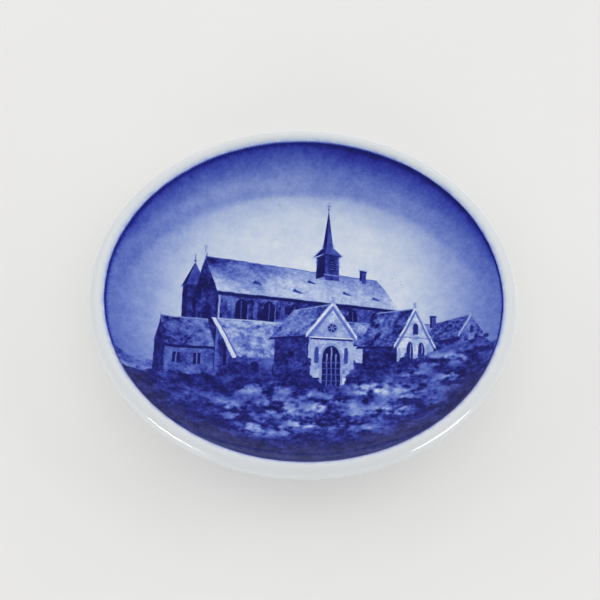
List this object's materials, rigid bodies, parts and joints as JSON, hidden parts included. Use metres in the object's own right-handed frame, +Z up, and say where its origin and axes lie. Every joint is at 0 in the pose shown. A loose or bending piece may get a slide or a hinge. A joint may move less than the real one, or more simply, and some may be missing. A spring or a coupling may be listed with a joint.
{
  "type": "souvenir plate",
  "caption": "Small round glazed porcelain wall plate with a shallow well, rounded white lip, pierced foot ring and a one-colour printed landscape filling the well.",
  "frame": {"origin": "centre of the foot ring's base, on the surface the plate stands on", "axes": "+Z up out of the well along the plate's axis, +Y towards the top of the picture, which is also the side of the hanging holes"},
  "size_m": [0.08, 0.08, 0.0109],
  "materials": {
    "bare_porcelain": "fine matte fired porcelain",
    "cobalt_print": "one-colour cobalt print under clear glaze",
    "cobalt_line": "dark cobalt line under clear glaze",
    "clear_glaze": "clear high-gloss glaze"
  },
  "bodies": {
    "root": {"porcelain_body": "bare_porcelain", "picture_transfer": "cobalt_print", "border_line": "cobalt_line", "front_glaze": "clear_glaze", "back_mark": "cobalt_line", "base_glaze": "clear_glaze"}
  },
  "joints": []
}
